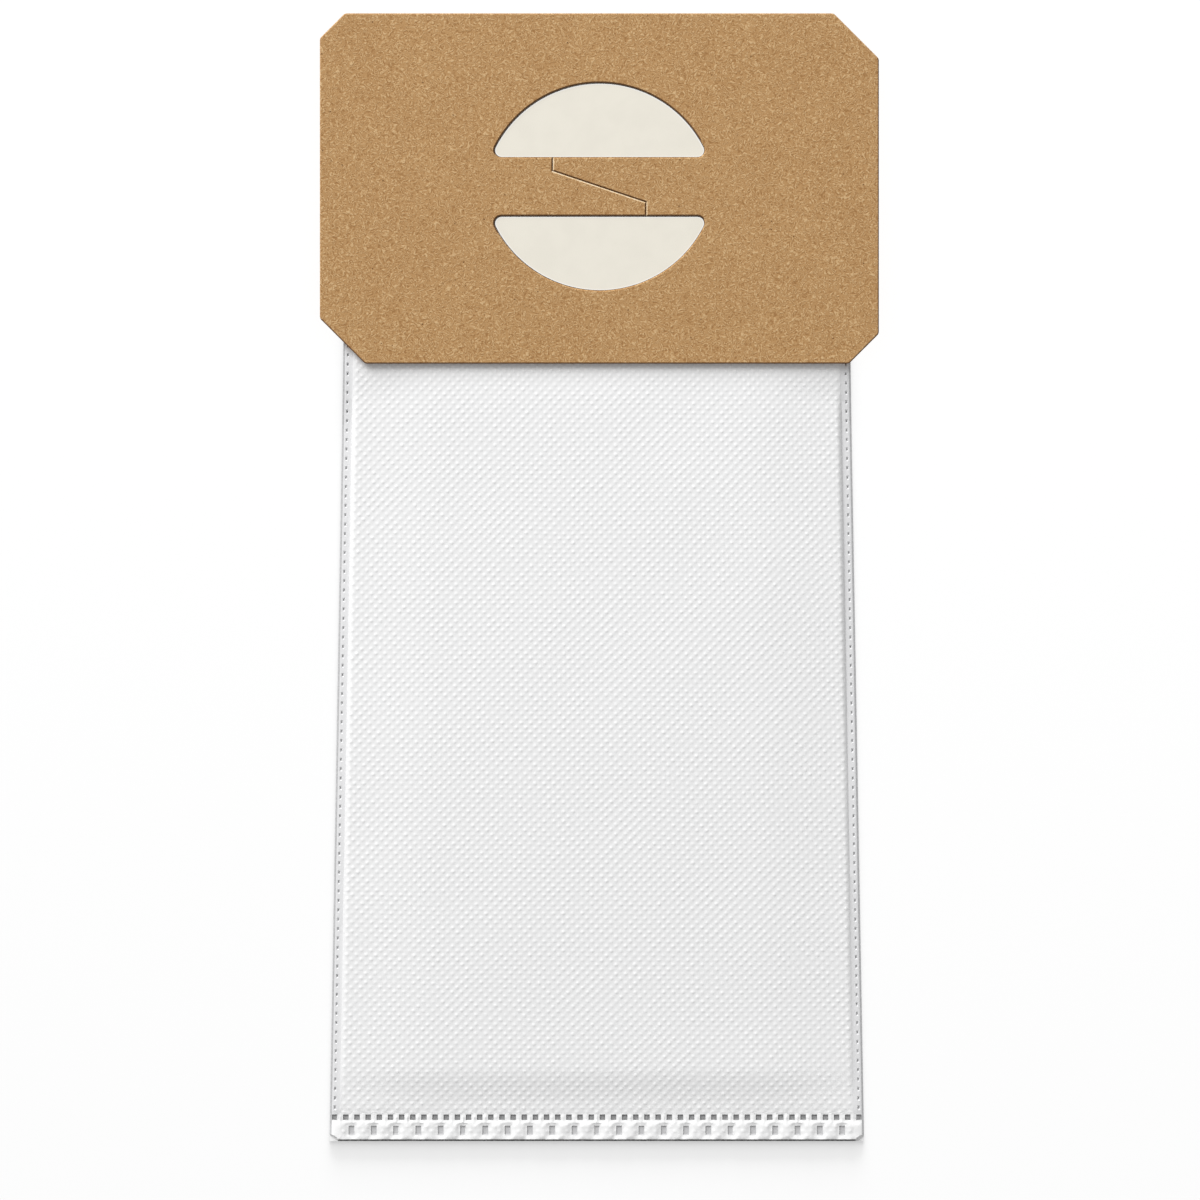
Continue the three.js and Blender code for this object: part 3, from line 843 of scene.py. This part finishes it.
def fused_faces(mesh, sizes, surface, side):
    """Which faces are fused film: the weld marks' pits and the trimmed edge."""
    x, y, z = vectors(mesh.polygons, "center").T / MM
    upright = np.abs(vectors(mesh.polygons, "normal")[:, 2])
    inset, strip_inset = from_side(x, y, sizes), from_end(y)
    above_weld = side * (z - WELD_PLANE) > LEAST_STEP
    in_pit = (side * (surface - z) + margin_lift(y, sizes, side) > LEAST_STEP) & above_weld
    wall = 0.1  # what is nearer to the outline is the wall round the panel
    in_pit &= (inset > wall) & (strip_inset > wall)
    in_pit &= (strip_inset < sizes.end_margin) | (upright > 0.9)
    trimmed = (np.minimum(inset, strip_inset) < sizes.trim * 0.8) & above_weld
    return in_pit | trimmed


def finish_panel(piece, sizes, welds, colours, surface, side, samples):
    """Materials of a panel: nonwoven, with fused film in the weld marks."""
    mesh = piece.data
    set_panel_attributes(piece, sizes, welds, side, samples)
    mesh.materials.clear()
    mesh.materials.append(embossed_polypropylene_nonwoven(colours))
    mesh.materials.append(fused_polypropylene(colours))
    fused = fused_faces(mesh, sizes, surface, side)
    mesh.polygons.foreach_set("material_index", fused.astype(np.int32))
    shade(piece, sharp_angle=38)
    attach(piece, "root")


def build_front_panel(sizes, welds, colours):
    """Crowned and rippled, with a puffed strip below, weld marks, clipped corners and its inlet."""
    surface = WELD_PLANE + sizes.weld_thickness
    lift = LAND - surface
    samples = 4  # grid columns to a pitch of the emboss

    def face_z(x, y):
        up = rise(x, y, sizes)
        below_collar = collar_low[1] - y
        free = smoothstep(below_collar, -4, 12)
        ripple = sizes.ripple * (0.5 * noise(x, y, cell=62, seed=1) + 0.25 * noise(x, y, cell=27, seed=2))
        across = np.abs(x - BAG_MID_X) / half_width(y, sizes)
        height = lift + slack(x, y, sizes) + free * (ripple - sizes.droop * smoothstep(across, 0.6, 1))
        inset, side_inset = from_end(y), from_side(x, y, sizes)
        near_marks = distance_to_strip_welds(x, y, sizes, welds)
        swell = bulge(near_marks)
        swell *= 1 - smoothstep(y - BAG_BOTTOM, sizes.end_margin, sizes.end_margin + 9)
        swell *= 1 - 0.7 * smoothstep(y - BAG_BOTTOM, welds.square_inset, welds.square_inset + 1)
        swell *= smoothstep(side_inset, 0.1, 1.6) * np.sqrt(np.clip(inset / 1.2, 0, 1))
        swell *= 1 + 0.35 * noise(x, y, cell=2.6, seed=6)
        edge = np.clip(1 - np.minimum(inset, side_inset) / sizes.trim, 0, 1)
        loft = smoothstep(side_inset, sizes.side_margin, sizes.side_margin + 1)
        loft *= smoothstep(near_marks, 0, 0.5) * smoothstep(below_collar, -3.5, -1)
        loft *= 0.45 + 0.55 * smoothstep(inset, sizes.end_margin - 1, sizes.end_margin + 2)
        held_up = margin_lift(y, sizes, 1) * (1 - up)
        bumps = emboss(x, y, sizes, samples) * loft
        return surface + up * height + held_up + sizes.puff * swell + bumps - TRIM_DROP * edge

    def hollow_z(x, y):
        return WELD_PLANE + rise(x, y, sizes) * (sizes.pouch_gap + slack(x, y, sizes))

    fine = columns_across(sizes, samples)
    step = sizes.emboss_pitch / samples
    body_start = BAG_BOTTOM + sizes.end_margin
    body_rows = np.arange(body_start, collar_low[1] + 8, step)
    land_rows = np.arange(body_rows[-1] + 3, BAG_TOP - sizes.end_margin - sizes.shoulder - 1, 5)
    shoulder_shares = np.array([1, 0.6, 0.3, 0])
    shoulder_rows = BAG_TOP - sizes.end_margin - sizes.shoulder * shoulder_shares
    rows = end_rows(BAG_BOTTOM, 1, sizes, 2 * fine)
    rows += [panel_row(y, sizes, fine) for y in body_rows]
    rows += [panel_row(y, sizes, 40) for y in (*land_rows, *shoulder_rows, BAG_TOP)]
    hollow_rows = hollow_grid(sizes)
    piece = closed_sheet("nonwoven_front_panel", rows, face_z, WELD_PLANE, hollow_rows, hollow_z)
    piece = press_welds(piece, sizes, welds, welds.front_depth, surface, 1)
    rings = [arc(*WINDOWS_MID[:2], sizes.inlet_radius, 0, 2 * math.pi, 64)[:-1]]
    notch_x, notch_y = sizes.corner_notch_width, sizes.corner_notch_height
    circle = arc(0, 0, 1, 0, 2 * math.pi, 24)[:-1]
    for hand in (-1, 1):
        corner = BAG_MID_X + hand * half_width(BAG_BOTTOM, sizes)
        rings.append([(corner + notch_x * x, BAG_BOTTOM + notch_y * y) for x, y in circle])
    holes = prisms("punches", [(ring, ring, WELD_PLANE - 1, LAND + 2) for ring in rings])
    piece = cut(piece, holes)
    finish_panel(piece, sizes, welds, colours, surface, 1, samples)
    declare_panel(piece, sizes)
    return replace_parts(piece, "front_panel")


def hollow_grid(sizes):
    """Coarse rows over the pouch, inside the welded margins."""
    bottom = BAG_BOTTOM + sizes.end_margin
    top = BAG_TOP - sizes.end_margin
    ys = [bottom, *(bottom + sizes.bottom_shoulder * np.array([0.25, 0.5, 0.75]))]
    ys += [*np.linspace(bottom + sizes.bottom_shoulder, top - sizes.shoulder, 20)]
    ys += [top - sizes.shoulder / 2, top]
    rows = []
    for y in ys:
        half = half_width(y, sizes) - sizes.side_margin
        inner = half - sizes.shoulder
        shoulder = sizes.shoulder * np.array([0, 0.3, 0.6])
        xs = np.concatenate([shoulder - half, np.linspace(-inner, inner, 17), (half - shoulder)[::-1]])
        rows.append(np.column_stack([xs + BAG_MID_X, np.full(len(xs), y)]))
    return rows


def build_back_panel(sizes, welds, colours):
    """Flat on the floor inside its lifted margins, embossed and welded like the front."""
    surface = WELD_PLANE - sizes.weld_thickness
    samples = 3  # grid columns to a pitch of the emboss

    def face_z(x, y):
        side_inset = from_side(x, y, sizes)
        near_marks = distance_to_strip_welds(x, y, sizes, welds)
        loft = smoothstep(side_inset, sizes.side_margin, sizes.side_margin + 1)
        loft *= smoothstep(near_marks, 0, 0.5)
        bumps = sizes.emboss_height * 0.45 - emboss(x, y, sizes, samples)
        swell = sizes.puff * 0.5 * bulge(near_marks)
        swell *= smoothstep(side_inset, 0.1, 1.6)
        swell *= 1 - rise(x, y, sizes)
        return np.maximum(surface * (1 - rise(x, y, sizes)) + bumps * loft - swell * loft, 0)

    fine = columns_across(sizes, samples)
    step = sizes.emboss_pitch / samples
    body_rows = np.arange(BAG_BOTTOM + sizes.end_margin, BAG_TOP - sizes.end_margin, step)
    rows = end_rows(BAG_BOTTOM, 1, sizes, fine)
    rows += [panel_row(y, sizes, fine) for y in body_rows]
    rows += end_rows(BAG_TOP, -1, sizes, fine)[::-1]
    piece = closed_sheet("nonwoven_back_panel", rows, face_z, WELD_PLANE)
    piece = press_welds(piece, sizes, welds, welds.back_depth, surface, -1)
    finish_panel(piece, sizes, welds, colours, surface, -1, samples)
    declare_panel(piece, sizes)
    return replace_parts(piece, "back_panel")


def declare_panel(piece, sizes):
    """Works out the area of a panel, a sheet of cloth cut to the bag's tapering outline, and which panel
    lies under it, but passes neither on.
    """
    width = (back_high[0] - back_low[0]) * MM
    tall = (BAG_TOP - BAG_BOTTOM) * MM
    area = (width + sizes.top_width * MM) / 2 * tall
    below = [] if piece.name.endswith("back_panel") else ["back_panel"]


# Collar and seal

PAINTED_LIGHT_X, PAINTED_LIGHT_Y = 0.5, 0.86  # to the upper left, where the painted light comes from: collar bevels that face away get painted shade, the slit's bevels that face it get a painted highlight, and so do the seal's rims that face it


def rounded(corners, radius, steps=4):
    """An outline through the corners, each softened by a small curve."""
    points = []
    corners = [np.array(c, float) for c in corners]
    for before, corner, after in zip([corners[-1], *corners], corners, [*corners[1:], corners[0]]):
        start = corner + (before - corner) / np.linalg.norm(before - corner) * radius
        end = corner + (after - corner) / np.linalg.norm(after - corner) * radius
        for t in np.linspace(0, 1, steps + 1):
            points.append(tuple((1 - t) ** 2 * start + 2 * t * (1 - t) * corner + t**2 * end))
    return points


def collar_outline(sizes):
    """The board's eight-sided outline."""
    x, y = (collar_high - collar_low)[:2] / 2
    corners = [
        (x - sizes.chamfer_top_right, y),
        (-x + sizes.chamfer_top_left, y),
        (-x, y - sizes.chamfer_top_left),
        (-x, -y + sizes.chamfer_bottom_left),
        (-x + sizes.chamfer_bottom_left, -y),
        (x - sizes.chamfer_bottom_right, -y),
        (x, -y + sizes.chamfer_bottom_right),
        (x, y - sizes.chamfer_top_right),
    ]
    return [(x + COLLAR_MID[0], y + COLLAR_MID[1]) for x, y in rounded(corners, sizes.corner_radius)]


def from_windows(points, side):
    """Points of the upper window, or turned half a turn for the lower, put where the windows are."""
    return [(side * x + WINDOWS_MID[0], side * y + WINDOWS_MID[1]) for x, y in points]


def window_outline(sizes, inset=0):
    """The upper half-moon window with its round tips, or a line inside its edge."""
    chord = sizes.bridge_height / 2
    centre = chord + sizes.window_height - sizes.window_radius
    tip_y = chord + sizes.window_tip_radius
    tip_x = math.sqrt((sizes.window_radius - sizes.window_tip_radius) ** 2 - (tip_y - centre) ** 2)
    tip = math.atan2(tip_y - centre, tip_x)
    return [
        *arc(tip_x, tip_y, sizes.window_tip_radius - inset, -math.pi / 2, tip, 8),
        *arc(0, centre, sizes.window_radius - inset, tip, math.pi - tip, 72)[1:-1],
        *arc(-tip_x, tip_y, sizes.window_tip_radius - inset, math.pi - tip, 1.5 * math.pi, 8),
    ]


def opening_outline(sizes):
    """Both half-moon windows and the slit that joins them, as one outline."""
    chord = sizes.bridge_height / 2
    half = sizes.slit_width / 2
    leg = sizes.slit_spread / 2
    fall = (sizes.bridge_height - 2 * sizes.slit_leg) / sizes.slit_spread
    rise_of_width = half * math.hypot(1, fall)
    slit = [
        (-leg - half, chord),
        (-leg - half, fall * (leg + half) - rise_of_width),
        (leg - half, -fall * (leg - half) - rise_of_width),
        (leg - half, -chord),
    ]
    half_turn = [*window_outline(sizes), *slit]
    return from_windows(half_turn, 1) + from_windows(half_turn, -1)


def board(name, outlines, low, high, crushed):
    """A sheet of board between two heights, with every cut edge bevelled by the die."""
    curve = bpy.data.curves.new(name, "CURVE")
    curve.dimensions = "2D"
    curve.fill_mode = "BOTH"
    curve.extrude = ((high - low) / 2 - crushed) * MM
    curve.bevel_depth = crushed * MM
    curve.bevel_resolution = 0
    curve.offset = -crushed * MM
    for outline in outlines:
        spline = curve.splines.new("POLY")
        spline.points.add(len(outline) - 1)
        spline.use_cyclic_u = True
        for point, (x, y) in zip(spline.points, outline):
            point.co = (x * MM, y * MM, 0, 1)
    piece = applied(link(bpy.data.objects.new(name, curve)))
    shell = bmesh.new()
    shell.from_mesh(piece.data)
    same_place = 0.002 * MM
    bmesh.ops.remove_doubles(shell, verts=shell.verts, dist=same_place)
    bmesh.ops.translate(shell, verts=shell.verts, vec=(0, 0, (low + high) / 2 * MM))
    bmesh.ops.recalc_face_normals(shell, faces=shell.faces)
    shell.to_mesh(piece.data)
    shell.free()
    return piece


def build_collar(sizes, colours):
    """The die-cut kraft board with its windows and slit."""
    outlines = [collar_outline(sizes), opening_outline(sizes)]
    piece = board("kraft_board_collar", outlines, collar_low[2], collar_high[2], sizes.crushed_edge)
    piece.data.materials.clear()
    for finish in (unbleached_kraft_board, cut_edge_and_bevel_shade, painted_highlight_lip):
        piece.data.materials.append(finish(colours))
    cut_edge_and_shade, lip_highlight = 1, 2  # in the order above
    for polygon in piece.data.polygons:
        x, y = np.abs(np.array(polygon.center[:2]) / MM - WINDOWS_MID[:2])
        wall, bevel = abs(polygon.normal.z) < 0.2, abs(polygon.normal.z) < 0.9
        faces_painted_light = PAINTED_LIGHT_Y * polygon.normal.y > PAINTED_LIGHT_X * polygon.normal.x
        in_opening = math.hypot(x, y) < sizes.window_radius and bevel
        on_slit = y < sizes.bridge_height / 2 - 1
        # Painted light and shade: bevels that face away from the upper left get the dark cut edge as
        # painted shade, and the slit's bevels that face the upper left get a pale painted highlight. The
        # upright walls are the real cut edge.
        if wall or (bevel and not faces_painted_light):
            polygon.material_index = cut_edge_and_shade
        elif in_opening and on_slit:
            polygon.material_index = lip_highlight
    shade(piece, sharp_angle=20)
    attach(piece, "root")
    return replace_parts(piece, "collar")


def build_seal(sizes, collar_sizes, colours):
    """The flexible sheet, glued to the board's back and swelling into the windows."""
    half_x, half_y = (seal_high - seal_low)[:2] / 2
    corners = [(half_x, half_y), (-half_x, half_y), (-half_x, -half_y), (half_x, -half_y)]
    outline = from_windows(rounded(corners, sizes.corner_radius, 8), 1)
    slit = rectangle(*WINDOWS_MID[:2], sizes.slit_length, sizes.slit_width)
    shell = Shell()
    edges = []
    for ring in (outline, slit):
        edges.append((shell.ring(ring, seal_low[2]), shell.ring(ring, SHEET_TOP)))
        shell.band(*edges[-1])
    swellings = []
    highlight_rim = []
    shift = sizes.swell_gap / 2 * np.array([0.6, -0.8])  # to the lower right
    slope = [0, 0.25, 0.5, 0.75, 1]
    on_top = [1 + sizes.highlight_rim / sizes.swell_run, 12]
    insets = np.array(slope + on_top) * sizes.swell_run
    heights = SHEET_TOP + sizes.swell * rounded_step(insets, sizes.swell_run)
    for side in (1, -1):
        rings = []
        for inset, height in zip(insets + sizes.swell_gap / 2, heights):
            line = np.array(from_windows(window_outline(collar_sizes, inset), side))
            rings.append(shell.ring(line + shift, height))
        # Painted highlight: the swell's top ring all round, and its slope along the windows' lower right
        # edges, which faces the upper left
        along = np.roll(line, -1, axis=0) - np.roll(line, 1, axis=0)
        rim_faces_light = PAINTED_LIGHT_X * along[:, 1] + PAINTED_LIGHT_Y * along[:, 0] > 0
        highlight_rim += rings[4] + list(np.array(rings[:4])[:, rim_faces_light].ravel())
        for outer, inner in zip(rings, rings[1:]):
            shell.band(outer, inner)
        shell.fill([rings[-1]])
        swellings.append(rings)
    shell.fill([low for low, _ in edges])
    shell.fill([high for _, high in edges] + [rings[0] for rings in swellings])
    piece = new_object("elastomer_seal", shell.vertices, shell.faces)
    stretched = np.zeros(len(shell.vertices))
    stretched[highlight_rim] = 1
    set_attribute(piece, "stretched", stretched)
    piece.data.materials.append(calendered_elastomer_sheet(colours))
    shade(piece, sharp_angle=50)
    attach(piece, "root")
    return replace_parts(piece, "inlet_seal")


# Studio


def build_floor(colours):
    side, gap = 4000, 0.05  # the table's width, and how far under the bag its top lies
    corners = [(x, y, -gap) for x, y in rectangle(0, 0, side, side)]
    floor = new_object("light_table", corners, [(0, 1, 2, 3)])
    floor.data.materials.append(backlit_opal_acrylic(colours))
    return floor


def build_light(name, place, size, watts, links):
    """A soft box that faces the middle of the bag.

    Links holds (set, object, state) for the objects that it treats in a way of their own.
    """
    light = bpy.data.lights.new(name, "AREA")
    light.shape = "RECTANGLE"
    light.size, light.size_y = size
    light.energy = watts
    lamp = link(bpy.data.objects.new(name, light))
    lamp.location = place
    lamp.rotation_euler = (-lamp.location).to_track_quat("-Z", "Y").to_euler()
    for kind, piece, state in links:
        members = bpy.data.collections.new(f"{name}_{kind}")
        members.objects.link(piece)
        members.collection_objects[0].light_linking.link_state = state
        setattr(lamp.light_linking, kind + "_collection", members)


def build_camera():
    """Looks straight down, from far enough away that the picture is nearly parallel."""
    picture_pixels = 1200
    pixel = 0.3126 * MM
    frame_width = picture_pixels * pixel
    middle_x, middle_y = 0.2 * MM, -6.95 * MM
    distance = 2.2
    camera = bpy.data.cameras.new("camera")
    camera.sensor_width = 36
    camera.lens = camera.sensor_width * distance / frame_width
    camera.clip_start = 0.05
    eye = link(bpy.data.objects.new("camera", camera))
    eye.location = (middle_x, middle_y, distance + LAND * MM)
    bpy.context.scene.camera = eye


def build_world():
    world = bpy.data.worlds.new("studio")
    world.use_nodes = True
    background = world.node_tree.nodes["Background"]
    background.inputs["Color"].default_value = (1, 1, 1, 1)
    background.inputs["Strength"].default_value = 0.43
    bpy.context.scene.world = world
    bpy.context.scene.view_settings.view_transform = "Standard"


class DUSTBAG_OT_stage(bpy.types.Operator):
    """Adds the light table, the soft lights and the camera

    The key light leaves the light table out, as its glow drowns the sides' shadows. Two more
    lights draw the shadow below the bag on the table, which fades over about a centimetre.
    """

    bl_idname = "dust_bag.stage"
    bl_label = "Studio"

    def execute(self, context):
        floor = build_floor(context.scene.dust_bag_finishes)
        off_table = [("receiver", floor, "EXCLUDE")]
        on_table = [("receiver", floor, "INCLUDE")]
        if "kraft_board_collar" in bpy.data.objects:
            on_table.append(("blocker", bpy.data.objects["kraft_board_collar"], "EXCLUDE"))
        build_light("key_light", (-1.86, 3.44, 2.25), size=(3.2, 3.2), watts=246, links=off_table)
        build_light("high_table_light", (0, 6.4, 6.4), size=(4, 10), watts=1720, links=on_table)
        build_light("low_table_light", (0, 5.8, 1.6), size=(3, 1.8), watts=930, links=on_table)
        build_world()
        build_camera()
        return {"FINISHED"}


class DUSTBAG_OT_back_panel(bpy.types.Operator):
    """Builds the back panel of embossed nonwoven"""

    bl_idname = "dust_bag.back_panel"
    bl_label = "Back panel"

    def execute(self, context):
        build_back_panel(*chosen(context.scene, "panels", "welds"))
        return {"FINISHED"}


class DUSTBAG_OT_front_panel(bpy.types.Operator):
    """Builds the front panel of embossed nonwoven"""

    bl_idname = "dust_bag.front_panel"
    bl_label = "Front panel"

    def execute(self, context):
        build_front_panel(*chosen(context.scene, "panels", "welds"))
        return {"FINISHED"}


class DUSTBAG_OT_seal(bpy.types.Operator):
    """Builds the flexible seal behind the collar's windows"""

    bl_idname = "dust_bag.seal"
    bl_label = "Seal"

    def execute(self, context):
        build_seal(*chosen(context.scene, "seal", "collar"))
        return {"FINISHED"}


class DUSTBAG_OT_collar(bpy.types.Operator):
    """Builds the die-cut kraft board collar"""

    bl_idname = "dust_bag.collar"
    bl_label = "Collar"

    def execute(self, context):
        build_collar(*chosen(context.scene, "collar"))
        return {"FINISHED"}


OPERATORS = (
    DUSTBAG_OT_back_panel,
    DUSTBAG_OT_front_panel,
    DUSTBAG_OT_seal,
    DUSTBAG_OT_collar,
    DUSTBAG_OT_stage,
)


class DUSTBAG_PT_build(bpy.types.Panel):
    """Lists the pieces to build and the sizes and colours they take"""

    bl_idname = "DUSTBAG_PT_build"
    bl_label = "Dust Bag"
    bl_space_type = "VIEW_3D"
    bl_region_type = "UI"
    bl_category = "Dust Bag"

    def draw(self, context):
        for operator in OPERATORS:
            self.layout.operator(operator.bl_idname)
        for group in GROUPS:
            box = self.layout.box()
            settings = getattr(context.scene, group)
            for name in settings.__annotations__:
                box.prop(settings, name)


CLASSES = (*GROUPS.values(), *OPERATORS, DUSTBAG_PT_build)


def register():
    for cls in CLASSES:
        bpy.utils.register_class(cls)
    for name, group in GROUPS.items():
        setattr(bpy.types.Scene, name, PointerProperty(type=group))


def unregister():
    for name in GROUPS:
        delattr(bpy.types.Scene, name)
    for cls in reversed(CLASSES):
        bpy.utils.unregister_class(cls)


def main():
    register()
    for operator in OPERATORS:
        group, name = operator.bl_idname.split(".")
        getattr(getattr(bpy.ops, group), name)()


if __name__ == "__main__":
    main()
